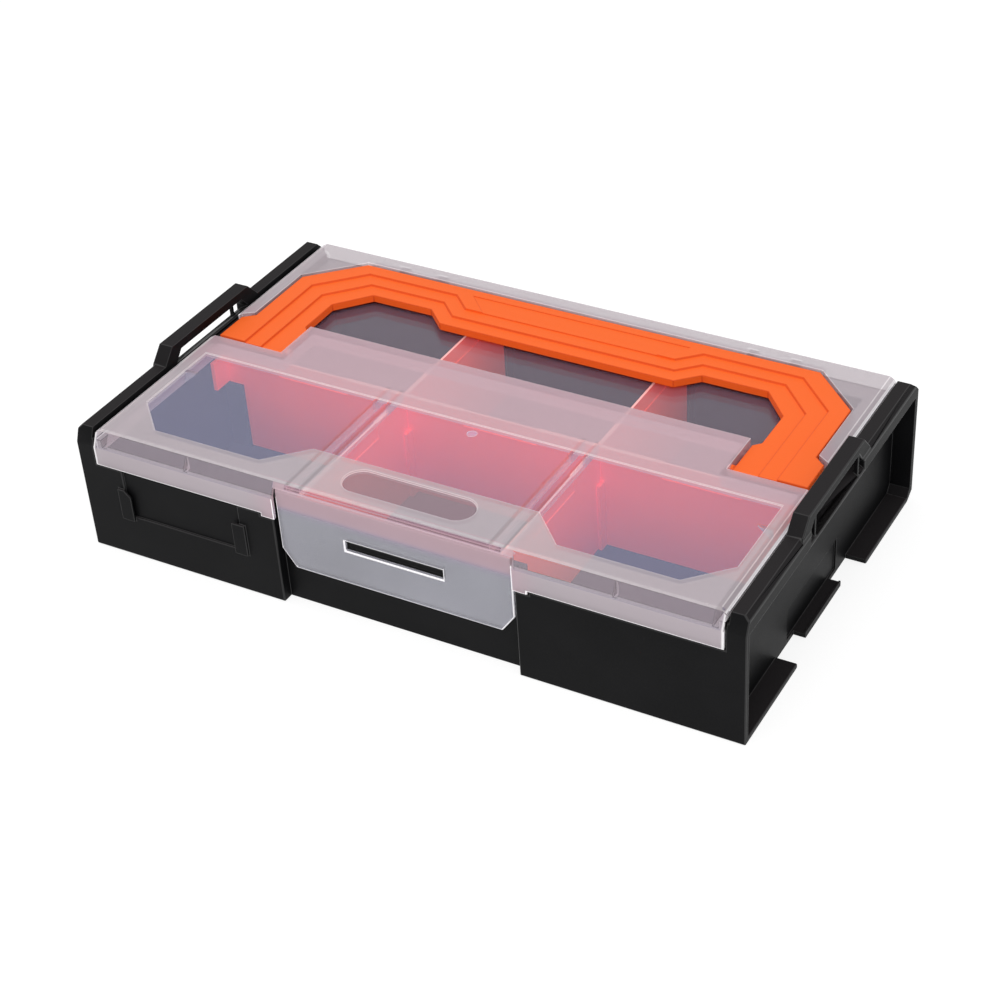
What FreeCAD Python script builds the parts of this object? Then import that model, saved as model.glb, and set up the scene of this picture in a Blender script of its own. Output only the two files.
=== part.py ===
"""Interlocking organizer box: a black tray whose ends stack on the next box, a clear lid with a fold-flat
handle and a snap flap, and five dividers.

Millimetres. X runs along the width, Y from front to back, Z up. The origin is the middle of the underside.
"""
import FreeCAD
import Part
import Sketcher
import os

SIZES = {
    # whole box
    "box_width": (260, "over both end rims"),
    "box_depth": (152, "front face to rear face of the tray"),
    "rail_top": (51.4, "top of the end rails and of the lid"),
    "wall": (2, "tray walls"),
    "floor_plate": (2, "tray floor"),
    # end channels and rails of the tray
    "end_recess": (8, "depth of the channel in each end"),
    "end_flange": (2.4, "front and rear flange of the channel"),
    "foot_flange": (1.8, "bottom flange of the channel"),
    "nose_drop": (6.4, "slope at the front of the rails, height"),
    "nose_run": (2.6, "slope at the front of the rails, length"),
    "tail_drop": (4.4, "slope at the rear of the rails, height"),
    "tail_run": (4.5, "slope at the rear of the rails, length"),
    "heel_rise": (3, "slope at the lower rear corner, height"),
    "heel_run": (5, "slope at the lower rear corner, length"),
    "rail_width": (6.6, "rail beside the lid"),
    "rail_plate": (2, "plate on top of the rail"),
    "rail_lip": (2, "outer lip under the rail"),
    "rail_depth": (7, "rail top to the lower edge of its lip"),
    "rail_web": (2, "inner web of the rail"),
    "rail_bevel": (1.8, "bevel on the outer top edge of the rail"),
    "lid_seat": (4, "seat of the lid below the rail top"),
    # stacking loops and the tabs that snap under them
    "loop_centre": (-0.4, "middle of the loop, behind mid depth"),
    "loop_length": (59.6, "loop at its feet"),
    "loop_run": (5.5, "slope at each end of the loop, length"),
    "loop_rise": (5.8, "loop above the rail"),
    "loop_bar": (3.4, "thickness of the loop's bar"),
    "loop_inset": (0.6, "outer face of the loop behind the rim"),
    "loop_post": (6, "post at each end of the slot, measured at the floor of the slot"),
    "slot_sill": (2.8, "inner edge of the slot's floor below the rail top"),
    "slot_fall": (3.2, "fall of the slot's floor towards the outside"),
    "slot_flat": (1.2, "level part of the slot's floor"),
    "slot_rib": (1, "ribs inside the slot"),
    "slot_rib_depth": (1.6, "ribs inside the slot, across the box"),
    "slot_rib_space": (37, "clear length between the ribs"),
    "tab_centre": (-1.5, "middle of the tab, behind mid depth"),
    "tab_length": (32, "tab along the depth"),
    "tab_width": (4.5, "tab across the box"),
    "tab_lip": (0.5, "raised edge of the tab, height"),
    "tab_lip_width": (0.8, "raised edge of the tab, width"),
    "post_gap": (15.5, "gap on each side of the tab, for the next box's loop"),
    "relief_length": (44, "shallow relief in the end wall, along the depth"),
    "relief_height": (15.2, "top of the relief"),
    "relief_depth": (0.8, "depth of the relief"),
    # front of the tray
    "front_recess": (4.2, "centre recess behind the flap"),
    "recess_width": (94.6, "centre recess across the box"),
    "front_step": (1.4, "front wall set back under the lid's skirt"),
    "front_wall_drop": (3.8, "top of the front wall below the lid's seat"),
    "catch_width": (37, "catch behind the flap's slot"),
    "catch_height": (3.2, "catch, height"),
    "catch_slope": (1.2, "slope on the catch"),
    "label_centre": (-87.1, "middle of the label panel, across the box"),
    "label_width": (49.2, "label panel"),
    "label_foot": (18, "lower edge of the label panel"),
    "label_depth": (0.8, "depth of the label panel"),
    "cleat_width": (5.4, "cleats that hold the label, across the box"),
    "cleat_height": (11.5, "cleats that hold the label, height"),
    "cleat_drop": (1.5, "cleats below the panel"),
    "cleat_proud": (1, "cleats in front of the tray"),
    # dividers and their guides
    "divider": (1.8, "divider plates"),
    "divider_gap": (0.3, "dividers below the lid"),
    "divider_play": (0.2, "play of the dividers in their guides"),
    "cross_space": (79.4, "between the two rows of cross dividers"),
    "guide_rib": (1.4, "guide ribs"),
    "guide_depth": (4, "guide ribs on the front and rear walls"),
    "end_guide_depth": (8, "guide ribs on the end walls"),
    "guide_height": (28, "guide ribs above the floor"),
    "head_width": (19, "cross piece at each end of the long divider"),
    "head_height": (12, "cross piece, height"),
    "head_plate": (1.6, "cross piece, thickness"),
    "grip_length": (30, "finger relief in a divider"),
    "grip_height": (6.5, "finger relief, height"),
    "grip_depth": (0.4, "finger relief, depth"),
    # rear hinge
    "hinge_inset": (3, "hinge axis in front of the rear face"),
    "hinge_height": (45.5, "hinge axis above the underside"),
    "hinge_space": (150, "between the two hinges"),
    "hinge_pin": (3, "pin diameter"),
    "pin_play": (0.1, "play round the pins, on the radius"),
    "knuckle": (5.8, "lid knuckle and tray lugs, diameter"),
    "knuckle_length": (13.4, "lid knuckle"),
    "knuckle_gap": (0.3, "between knuckle and lugs"),
    "knuckle_mouth": (2.4, "mouth of the open knuckle"),
    "lug_width": (3, "tray lugs"),
    "hinge_room": (0.6, "room round the lugs"),
    "rear_drop": (2.3, "rear wall below the hinge axis"),
    # lid
    "lid_gap": (1.2, "between the lid and each rail"),
    "lid_rear": (2.5, "rear edge of the lid in front of the tray's rear face"),
    "lid_plate": (1.8, "plate on top of the lid"),
    "lid_wall": (1.8, "walls and lip of the lid"),
    "lip_gap": (0.4, "between the lid's lip and the tray walls"),
    "seat_gap": (0.1, "between lid and seat"),
    "edge_drop": (1.4, "bevel along the lid's sides, height"),
    "edge_run": (2.2, "bevel along the lid's sides, width"),
    "skirt": (1.6, "front skirt"),
    "skirt_gap": (0.2, "between skirt and tray"),
    "skirt_drop": (13.9, "lower edge of the skirt below the lid's top"),
    "skirt_lift": (0.3, "skirt above the tray's shoulder"),
    "band_drop": (6.2, "sloped band above the skirt, height"),
    "band_run": (3, "sloped band above the skirt, depth"),
    "band_corner": (0.3, "inner corner of the band above the skirt's outer corner"),
    "gusset": (1.2, "gussets behind the sloped band"),
    "gusset_space": (167, "between the two gussets"),
    "side_gusset": (26.5, "gussets at the lid's sides in front of mid depth"),
    "gusset_reach": (6, "gussets at the lid's sides, towards the middle"),
    "tooth_width": (5.5, "teeth at the skirt's inner ends"),
    "tooth_drop": (1.4, "teeth below the skirt"),
    "post_room": (0.6, "between the skirt and the front posts"),
    "pocket_front": (3.6, "handle pocket's front wall in front of mid depth"),
    "pocket_floor": (1.2, "floor of the handle pocket"),
    "bridge_width": (181, "raised bridge between the handle's legs"),
    "bridge_depth": (20.2, "raised bridge behind the pocket's front wall"),
    "ear_notch": (17.5, "opening in the lid's side for the handle's ears"),
    "window_side": (6.2, "window frame at the sides"),
    "window_front": (10.8, "window frame at the front"),
    "window_rear": (11.7, "window frame at the rear"),
    "window_corner": (13.8, "cut corner of the window"),
    "window_depth": (0.5, "windows below the lid's top"),
    "badge_width": (116, "front of the plain centre field"),
    "badge_run": (13.6, "depth of the plain centre field and its sloped sides"),
    "medallion_length": (51, "long recess in the centre field"),
    "medallion_width": (13, "long recess, width"),
    "medallion_depth": (0.7, "long recess, depth"),
    "medallion_centre": (14.6, "middle of the long recess behind the lid's front"),
    "rib": (1, "ribs under the lid"),
    "rib_space": (5.4, "between two ribs that straddle a divider"),
    "rib_drop": (4, "ribs under the lid, height"),
    # latch flap
    "flap_width": (92, "flap"),
    "flap_plate": (1.6, "thickness of the flap"),
    "flap_foot": (16.5, "lower edge of the flap above the underside"),
    "flap_axis": (47.4, "bending line of the flap above the underside"),
    "flap_corner_run": (5, "cut lower corners, width"),
    "flap_corner_rise": (7, "cut lower corners, height"),
    "flap_inset": (1.2, "flap behind the tray's front face"),
    "flap_gap": (0.2, "between flap, lid and catch"),
    "flap_side_gap": (0.6, "between flap and skirt"),
    "slot_width": (38.6, "slot in the flap"),
    "slot_height": (4.2, "slot in the flap, height"),
    "slot_foot": (30.4, "lower edge of the flap's slot above the underside"),
    # handle
    "handle_drop": (0.6, "handle below the lid's top"),
    "handle_thick": (4.5, "thickness of the handle"),
    "handle_under": (0.6, "between handle and pocket floor"),
    "handle_gap": (0.7, "between handle and pocket walls"),
    "handle_front": (1.7, "between the legs' ends and the pocket's front wall"),
    "handle_width": (230, "over the legs"),
    "handle_rear": (9.6, "rear edge of the handle in front of the tray's rear face"),
    "handle_corner_run": (19, "cut outer corners, across the box"),
    "handle_corner_rise": (18.6, "cut outer corners, along the depth"),
    "leg_width": (21, "legs"),
    "ear_reach": (4.3, "ears outside the legs"),
    "ear_length": (14.4, "ears along the depth"),
    "ear_slope": (3.5, "slope behind the ears"),
    "ear_step": (2.6, "ears inside the legs"),
    "ear_inner": (17.4, "inner step of the ears along the depth"),
    "ear_nose": (2.5, "legs' ends in front of the pivot"),
    "grip_narrow": (17.4, "grip beside its middle"),
    "grip_wide": (25, "grip in its middle"),
    "grip_middle": (98, "length of the wide middle"),
    "grip_run": (8, "sloped sides of the wide middle"),
    "inner_corner_run": (11, "cut inner corners, across the box"),
    "inner_corner_rise": (12.5, "cut inner corners, along the depth"),
    "tier_step": (0.7, "step between the handle's tiers"),
    "panel_inset": (4, "rim behind the panel on the grip"),
    "panel_length": (92, "rear edge of the panel on the grip"),
    "panel_over": (1, "panel's cut beyond the tier's edge"),
    "panel_depth": (0.3, "panel on the grip"),
    "ear_chamfer": (1.5, "lower edge of the legs' ends, so that they turn clear of the floor"),
    "pivot_pin": (3, "pivot pin diameter"),
    "pivot_reach": (2.3, "pivot pins into the bridge"),
}
TIERS = 3
SIDES = (-1, 1)

doc = FreeCAD.newDocument("organizer_box")
sheet = doc.addObject("Spreadsheet::Sheet", "Sizes")
for row, (name, (number, note)) in enumerate(SIZES.items(), start=1):
    sheet.set(f"A{row}", name)
    sheet.set(f"B{row}", str(number))
    sheet.set(f"C{row}", note)
    sheet.setAlias(f"B{row}", name)
doc.recompute()


class Length:
    """A length that carries its value and the sheet formula that drives it."""

    def __init__(self, value, formula):
        self.value = value
        self.formula = formula

    def __add__(self, other):
        other = as_length(other)
        return Length(self.value + other.value, f"({self.formula} + {other.formula})")

    def __sub__(self, other):
        other = as_length(other)
        return Length(self.value - other.value, f"({self.formula} - {other.formula})")

    def __mul__(self, factor):
        return Length(self.value * factor, f"({self.formula} * {factor})")

    def __truediv__(self, divisor):
        return Length(self.value / divisor, f"({self.formula} / {divisor})")

    def __neg__(self):
        return Length(-self.value, f"(0 - {self.formula})")

    __rmul__ = __mul__


def as_length(value):
    return value if isinstance(value, Length) else Length(value, f"({value})")


class Sheet:
    """Reads a size of the sheet by its name."""

    def __getattr__(self, name):
        return Length(float(sheet.get(name)), f"Sizes.{name}")


size = Sheet()

# Planes and heights that more than one piece refers to.
half_width = size.box_width / 2
front = -(size.box_depth / 2)
rear = size.box_depth / 2
top = size.rail_top
under = as_length(0)
end_wall = half_width - size.end_recess
rail_inner = half_width - size.rail_width
seat = top - size.lid_seat
inner_end = end_wall - size.wall
inner_rear = rear - size.wall
upper_front = front + size.front_step
inner_front = upper_front + size.wall
recess_face = front + size.front_recess
inner_recess = recess_face + size.wall
recess_half = size.recess_width / 2
hinge_y = rear - size.hinge_inset
hinge_z = size.hinge_height
rear_top = hinge_z - size.rear_drop

lid_half = rail_inner - size.lid_gap
lid_back = rear - size.lid_rear
skirt_inner = upper_front - size.skirt_gap
lid_front = skirt_inner - size.skirt
skirt_foot = top - size.skirt_drop
shoulder = skirt_foot - size.skirt_lift
pocket_y = -size.pocket_front
bridge_half = size.bridge_width / 2
bridge_back = pocket_y + size.bridge_depth

handle_top = top - size.handle_drop
handle_foot = handle_top - size.handle_thick
pocket_top = handle_foot - size.handle_under
pocket_under = pocket_top - size.pocket_floor
divider_top = pocket_under - size.divider_gap
leg_end = pocket_y + size.handle_front
pivot_y = leg_end + size.ear_nose
pivot_z = handle_foot + size.handle_thick / 2
leg_outer = size.handle_width / 2
leg_inner = leg_outer - size.leg_width
ear_outer = leg_outer + size.ear_reach
ear_inner = leg_inner - size.ear_step
handle_back = rear - size.handle_rear

flap_front = front + size.flap_inset
flap_back = flap_front + size.flap_plate
flap_axis_y = flap_front + size.flap_plate / 2
flap_half = size.flap_width / 2
cross_x = size.cross_space / 2
half_plate = size.divider / 2
guide_top = size.floor_plate + size.guide_height


def body(label):
    """An empty piece, named as its file will be."""
    piece = doc.addObject("PartDesign::Body", label)
    piece.Label = label
    return piece


def hold(held, kind, geometry, point, length):
    """Notes one distance from the sketch's origin, and the formula that drives it."""
    held.append((Sketcher.Constraint(kind, -1, 1, geometry, point, length.value), length.formula))


def draw_outline(sketch, held, corners):
    """A closed outline of straight lines through the corners."""
    corners = [(as_length(across), as_length(along)) for across, along in corners]
    points = [FreeCAD.Vector(across.value, along.value, 0) for across, along in corners]
    first = sketch.GeometryCount
    sketch.addGeometry([Part.LineSegment(start, end) for start, end in zip(points, points[1:] + points[:1])])
    for place, (across, along) in enumerate(corners):
        line = first + place
        following = first + (place + 1) % len(corners)
        held.append((Sketcher.Constraint("Coincident", line, 2, following, 1), None))
        hold(held, "DistanceX", line, 1, across)
        hold(held, "DistanceY", line, 1, along)


def draw_circle(sketch, held, across, along, diameter):
    """A circle, held by its middle and its radius."""
    middle = FreeCAD.Vector(across.value, along.value, 0)
    circle = sketch.addGeometry(Part.Circle(middle, FreeCAD.Vector(0, 0, 1), diameter.value / 2))
    hold(held, "DistanceX", circle, 3, across)
    hold(held, "DistanceY", circle, 3, along)
    held.append((Sketcher.Constraint("Radius", circle, diameter.value / 2), (diameter / 2).formula))


def sketch_on(piece, name, plane, offset, outlines):
    """A sketch on one of the piece's own planes, moved along the plane's normal."""
    sketch = piece.newObject("Sketcher::SketchObject", name + "_sketch")
    origin = next(face for face in piece.Origin.OriginFeatures if face.Role == plane + "_Plane")
    sketch.AttachmentSupport = [(origin, "")]
    sketch.MapMode = "FlatFace"
    sketch.setExpression("AttachmentOffset.Base.z", offset.formula)
    held = []
    for outline in outlines:
        if len(outline) == 3 and isinstance(outline[0], Length):
            draw_circle(sketch, held, *outline)
        else:
            draw_outline(sketch, held, outline)
    sketch.addConstraint([constraint for constraint, formula in held])
    for index, (constraint, formula) in enumerate(held):
        if formula:
            sketch.setExpression(f"Constraints[{index}]", formula)
    return sketch


def volume(piece):
    return piece.Shape.Volume if piece.Tip else 0


def add(piece, name, plane, start, end, outlines):
    """Material between two places along the plane's normal: Z for XY, X for YZ and Y for XZ."""
    start = as_length(start)
    end = as_length(end)
    before = volume(piece)
    offset = -end if plane == "XZ" else start
    pad = piece.newObject("PartDesign::Pad", name)
    pad.Profile = sketch_on(piece, name, plane, offset, outlines)
    pad.Refine = False
    pad.setExpression("Length", (end - start).formula)
    doc.recompute()
    if volume(piece) <= before:
        raise RuntimeError(name + " added nothing")


def cut(piece, name, plane, start, end, outlines):
    """Material taken away between two places along the plane's normal."""
    start = as_length(start)
    end = as_length(end)
    before = volume(piece)
    offset = -start if plane == "XZ" else end
    pocket = piece.newObject("PartDesign::Pocket", name)
    pocket.Profile = sketch_on(piece, name, plane, offset, outlines)
    pocket.Refine = False
    pocket.setExpression("Length", (end - start).formula)
    doc.recompute()
    if volume(piece) >= before:
        raise RuntimeError(name + " cut nothing")


def rectangle(left, right, low, high):
    return [(left, low), (right, low), (right, high), (left, high)]


def mirrored(corners):
    """The same outline on the other side of the sketch's upright axis."""
    return [(-as_length(across), along) for across, along in reversed(corners)]


def both(corners):
    """An outline and its mirror image."""
    return [corners, mirrored(corners)]


def symmetric(corners):
    """One outline from its right half, given from one end of the axis of symmetry to the other."""
    return corners + mirrored(corners)


def at_both_ends(work, piece, name, near, far, outlines):
    """The same feature at the right and at the left end, between two distances from the middle."""
    work(piece, name + "_right", "YZ", near, far, outlines)
    work(piece, name + "_left", "YZ", -far, -near, outlines)


def tray_block(tray):
    """The tray's outer form with its cavity and the room for the lid."""
    side = [
        (front, under),
        (front, top - size.nose_drop),
        (front + size.nose_run, top),
        (rear - size.tail_run, top),
        (rear, top - size.tail_drop),
        (rear, size.heel_rise),
        (rear - size.heel_run, under),
    ]
    add(tray, "block", "YZ", -half_width, half_width, [side])
    bevel = [(half_width, top - size.rail_bevel), (half_width, top), (half_width - size.rail_bevel, top)]
    cut(tray, "rail_bevel", "XZ", front, rear, both(bevel))
    cut(tray, "lid_room", "XZ", front, rear, [rectangle(-rail_inner, rail_inner, seat, top)])
    cut(tray, "rear_room", "XZ", hinge_y - size.hinge_room, rear,
        [rectangle(-rail_inner, rail_inner, rear_top, seat)])
    cavity = symmetric([
        (inner_end, inner_rear),
        (inner_end, inner_front),
        (recess_half + size.wall, inner_front),
        (recess_half + size.wall, inner_recess),
    ])
    cut(tray, "cavity", "XY", size.floor_plate, seat, [cavity])
    post = lid_half + size.post_room
    low_front = symmetric([
        (inner_end, inner_recess),
        (inner_end, inner_front),
        (post, inner_front),
        (post, front),
    ])
    cut(tray, "low_front", "XY", seat - size.front_wall_drop, seat, [low_front])


def tray_ends(tray):
    """The channel in each end, the hollow rail above it and the bottom flange with its tab."""
    channel_rear = rear - size.end_flange
    channel_top = top - size.rail_depth
    channel = [
        (front + size.end_flange, size.foot_flange),
        (front + size.end_flange, channel_top),
        (channel_rear, channel_top),
        (channel_rear, size.heel_rise + size.foot_flange),
        (rear - size.heel_run, size.foot_flange),
    ]
    at_both_ends(cut, tray, "channel", end_wall, half_width, [channel])

    lip = half_width - size.rail_lip
    web = rail_inner + size.rail_web
    shelf = seat - size.rail_plate
    hollow = [
        (end_wall, channel_top),
        (lip, channel_top),
        (lip, top - size.rail_plate),
        (web, top - size.rail_plate),
        (web, shelf),
        (end_wall, shelf),
    ]
    loop_half = size.loop_length / 2
    cut(tray, "front_hollow", "XZ", front + size.end_flange, size.loop_centre - loop_half, both(hollow))
    rail_back = rear - size.tail_drop - size.tail_run
    cut(tray, "rear_hollow", "XZ", size.loop_centre + loop_half, rail_back, both(hollow))

    tab_half = size.tab_length / 2
    tab_front = size.tab_centre - tab_half
    tab_back = size.tab_centre + tab_half
    tab_edge = end_wall + size.tab_width
    gaps = [
        (end_wall, tab_front - size.post_gap),
        (half_width, tab_front - size.post_gap),
        (half_width, tab_back + size.post_gap),
        (end_wall, tab_back + size.post_gap),
        (end_wall, tab_back),
        (tab_edge, tab_back),
        (tab_edge, tab_front),
        (end_wall, tab_front),
    ]
    cut(tray, "flange_gaps", "XY", under, size.foot_flange, both(gaps))
    lip_plan = rectangle(tab_edge - size.tab_lip_width, tab_edge, tab_front, tab_back)
    add(tray, "tab_lip", "XY", size.foot_flange, size.foot_flange + size.tab_lip, both(lip_plan))
    relief_half = size.relief_length / 2
    relief = rectangle(size.tab_centre - relief_half, size.tab_centre + relief_half, size.foot_flange,
                       size.relief_height)
    at_both_ends(cut, tray, "relief", end_wall - size.relief_depth, end_wall, [relief])


def stacking_loops(tray):
    """The raised loop on each rail, with a slot that the next box's tab snaps into."""
    loop_half = size.loop_length / 2
    loop_front = size.loop_centre - loop_half
    loop_back = size.loop_centre + loop_half
    loop_top = top + size.loop_rise
    face = half_width - size.loop_inset
    rail_under = top - size.rail_plate
    loop = [
        (loop_front, rail_under),
        (loop_front, top),
        (loop_front + size.loop_run, loop_top),
        (loop_back - size.loop_run, loop_top),
        (loop_back, top),
        (loop_back, rail_under),
    ]
    at_both_ends(add, tray, "loop", rail_inner, face, [loop])

    sill = top - size.slot_sill
    ceiling = loop_top - size.loop_bar
    slot_front = loop_front + size.loop_post
    slot_back = loop_back - size.loop_post
    lean = size.loop_run * 0.8
    slot = [
        (slot_front, sill),
        (slot_front + lean, ceiling),
        (slot_back - lean, ceiling),
        (slot_back, sill),
    ]
    at_both_ends(cut, tray, "loop_slot", rail_inner, half_width, [slot])
    slope = [
        (rail_inner + size.slot_flat, sill),
        (half_width, sill),
        (half_width, sill - size.slot_fall),
    ]
    cut(tray, "slot_slope", "XZ", slot_front, slot_back, both(slope))

    clear_half = size.slot_rib_space / 2
    rib_foot = sill - size.slot_fall
    ribs = [
        rectangle(middle, middle + size.slot_rib, rib_foot, ceiling + size.slot_rib)
        for middle in (size.loop_centre - clear_half - size.slot_rib, size.loop_centre + clear_half)
    ]
    at_both_ends(add, tray, "slot_ribs", face - size.slot_rib_depth, face, ribs)


def tray_front(tray):
    """The step under the lid's skirt, the centre recess with its catch, and the label holder."""
    post = lid_half + size.post_room
    cut(tray, "centre_recess", "XZ", front, recess_face, [rectangle(-recess_half, recess_half, under, seat)])
    cut(tray, "skirt_step", "XZ", front, upper_front, [rectangle(-post, post, shoulder, seat)])
    tooth_room = flap_half + size.flap_side_gap + size.tooth_width + size.post_room
    tooth_notch = rectangle(recess_half, tooth_room, shoulder - size.tooth_drop, shoulder)
    cut(tray, "tooth_notch", "XZ", front, upper_front, both(tooth_notch))

    catch_foot = size.slot_foot + (size.slot_height - size.catch_height) / 2
    catch_top = catch_foot + size.catch_height
    catch_face = flap_back + size.flap_gap
    catch = [
        (recess_face, catch_foot),
        (catch_face, catch_foot),
        (catch_face, catch_top - size.catch_slope),
        (recess_face, catch_top),
    ]
    catch_half = size.catch_width / 2
    add(tray, "catch", "YZ", -catch_half, catch_half, [catch])

    label_half = size.label_width / 2
    label_left = size.label_centre - label_half
    label_right = size.label_centre + label_half
    panel = rectangle(label_left, label_right, size.label_foot, shoulder)
    cut(tray, "label_panel", "XZ", front, front + size.label_depth, [panel])
    cleat_foot = size.label_foot - size.cleat_drop
    cleat_top = size.label_foot + size.cleat_height
    half_cleat = size.cleat_width / 2
    left_cleat = [
        (label_left - half_cleat, cleat_foot),
        (label_left + half_cleat, cleat_foot),
        (label_left + half_cleat, cleat_top - half_cleat),
        (label_left, cleat_top),
        (label_left - half_cleat, cleat_top),
    ]
    right_cleat = rectangle(label_right - half_cleat, label_right + half_cleat, cleat_foot, cleat_top)
    add(tray, "cleats", "XZ", front - size.cleat_proud, front, [left_cleat, right_cleat])


def tray_guides(tray):
    """Pairs of ribs on the walls that hold the ends of the dividers."""
    near = half_plate + size.divider_play
    far = near + size.guide_rib
    ends = []
    for side in SIDES:
        rib = rectangle(inner_end - size.end_guide_depth, inner_end, side * near, side * far)
        ends += both(rib if side > 0 else list(reversed(rib)))
    walls = []
    for side in SIDES:
        left = cross_x + (near if side > 0 else -far)
        right = cross_x + (far if side > 0 else -near)
        walls += both(rectangle(left, right, inner_recess, inner_recess + size.guide_depth))
        walls += both(rectangle(left, right, inner_rear - size.guide_depth, inner_rear))
    add(tray, "end_guides", "XY", size.floor_plate, guide_top, ends)
    add(tray, "wall_guides", "XY", size.floor_plate, guide_top, walls)


def tray_hinges(tray):
    """Two hinges on the rear wall: a notch for the lid's knuckle, two lugs and the pin between them."""
    knuckle_half = size.knuckle_length / 2 + size.knuckle_gap
    lug_half = knuckle_half + size.lug_width
    radius = size.knuckle / 2
    notch_foot = hinge_z - radius - size.hinge_room
    for side in SIDES:
        name = "left" if side < 0 else "right"
        middle = size.hinge_space / 2 * side
        notch = rectangle(middle - knuckle_half, middle + knuckle_half, notch_foot, rear_top)
        cut(tray, name + "_hinge_notch", "XZ", inner_rear, rear, [notch])
        lug = [
            (inner_rear, notch_foot - radius),
            (rear, notch_foot - radius),
            (hinge_y + radius, hinge_z),
            (hinge_y - radius, hinge_z),
        ]
        for part, start in (("outer", knuckle_half), ("inner", -lug_half)):
            near = middle + start
            far = near + size.lug_width
            add(tray, f"{name}_{part}_lug", "YZ", near, far, [lug])
            add(tray, f"{name}_{part}_lug_eye", "YZ", near, far, [(hinge_y, hinge_z, size.knuckle)])
        pin = (hinge_y, hinge_z, size.hinge_pin)
        add(tray, name + "_hinge_pin", "YZ", middle - lug_half, middle + lug_half, [pin])


def base_tray():
    tray = body("base_tray")
    tray_block(tray)
    tray_ends(tray)
    stacking_loops(tray)
    tray_front(tray)
    tray_guides(tray)
    tray_hinges(tray)


def pocket_plan():
    """The handle pocket from above: the handle's outline with its gap, open at the sides for the ears."""
    gap = size.handle_gap
    notch_back = pocket_y + size.ear_notch
    return symmetric([
        (bridge_half, bridge_back),
        (bridge_half, pocket_y),
        (lid_half, pocket_y),
        (lid_half, notch_back),
        (ear_outer + gap, notch_back),
        (leg_outer + gap, leg_end + size.ear_length + size.ear_slope + gap),
        (leg_outer + gap, handle_back - size.handle_corner_rise + gap / 2),
        (leg_outer - size.handle_corner_run + gap / 2, handle_back + gap),
    ])


def window_plan():
    """The polished window: one field across the lid, with cut corners and a plain field at its front."""
    side = lid_half - size.window_side
    near = lid_front + size.window_front
    badge_half = size.badge_width / 2
    return symmetric([
        (side, pocket_y - size.window_rear),
        (side, near + size.window_corner),
        (side - size.window_corner, near),
        (badge_half, near),
        (badge_half - size.badge_run, near + size.badge_run),
    ])


def lid_shell(lid):
    """The lid's outer form, cut free of the tray's walls and hollowed from below."""
    side = [
        (lid_front, skirt_foot),
        (lid_front, top - size.band_drop),
        (lid_front + size.band_run, top),
        (lid_back, top),
        (lid_back, pocket_under),
        (skirt_inner, pocket_under),
        (skirt_inner, skirt_foot),
    ]
    add(lid, "block", "YZ", -lid_half, lid_half, [side])
    bevel = [(lid_half, top - size.edge_drop), (lid_half, top), (lid_half - size.edge_run, top)]
    cut(lid, "side_bevel", "XZ", lid_front, lid_back, both(bevel))

    lip_end = inner_end - size.lip_gap
    rim = rectangle(lip_end, lid_half, skirt_inner, lid_back)
    cut(lid, "rim", "XY", pocket_under, seat + size.seat_gap, both(rim))

    wall = size.lid_wall
    ceiling = top - size.lid_plate
    hollow_front = lid_front + size.band_run + size.lid_wall / 2
    hollow = symmetric([
        (bridge_half - wall, bridge_back - wall),
        (bridge_half - wall, pocket_y - wall),
        (lip_end - wall, pocket_y - wall),
        (lip_end - wall, hollow_front),
    ])
    cut(lid, "hollow", "XY", pocket_under, ceiling, [hollow])
    band = [
        (skirt_inner, pocket_under),
        (skirt_inner, top - size.band_drop + size.band_corner),
        (hollow_front, ceiling),
        (hollow_front, pocket_under),
    ]
    gusset = size.gusset_space / 2
    half_gusset = size.gusset / 2
    at_both_ends(cut, lid, "band_hollow_outer", gusset + half_gusset, lip_end - wall, [band])
    cut(lid, "band_hollow", "YZ", half_gusset - gusset, gusset - half_gusset, [band])
    side_inner = lip_end - wall
    side_gusset = [(side_inner, pocket_under), (side_inner, ceiling), (side_inner - size.gusset_reach, ceiling)]
    side_near = -size.side_gusset - half_gusset
    side_far = -size.side_gusset + half_gusset
    add(lid, "side_gussets", "XZ", side_near, side_far, both(side_gusset))
    strip_front = handle_back + size.handle_gap + wall
    strip_half = leg_outer - size.handle_corner_run
    strip = rectangle(-strip_half, strip_half, strip_front, lid_back - wall)
    cut(lid, "rear_hollow", "XY", pocket_under, ceiling, [strip])


def lid_top(lid):
    """The handle pocket, the windows, the long recess in the plain field and the ribs over the dividers."""
    cut(lid, "handle_pocket", "XY", pocket_top, top, [pocket_plan()])
    cut(lid, "window", "XY", top - size.window_depth, top, [window_plan()])
    half_length = size.medallion_length / 2
    half = size.medallion_width / 2
    bend = half * 0.55
    middle = lid_front + size.medallion_centre
    medallion = symmetric([
        (half_length - bend, middle + half),
        (half_length, middle + half - bend),
        (half_length, middle - half + bend),
        (half_length - bend, middle - half),
    ])
    cut(lid, "medallion", "XY", top - size.medallion_depth, top, [medallion])

    ceiling = top - size.lid_plate
    rib_front = lid_front + size.band_run + size.lid_wall / 2
    rib_back = pocket_y - size.lid_wall
    ribs = []
    for side in SIDES:
        line = cross_x + size.rib_space / 2 * side
        ribs += both(rectangle(line - size.rib / 2, line + size.rib / 2, rib_front, rib_back))
    add(lid, "ribs", "XY", ceiling - size.rib_drop, ceiling, ribs)

    hole = size.pivot_pin + size.pin_play * 2
    reach = bridge_half - size.lid_wall
    at_both_ends(cut, lid, "pivot_hole", reach, bridge_half, [(pivot_y, pivot_z, hole)])


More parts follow.
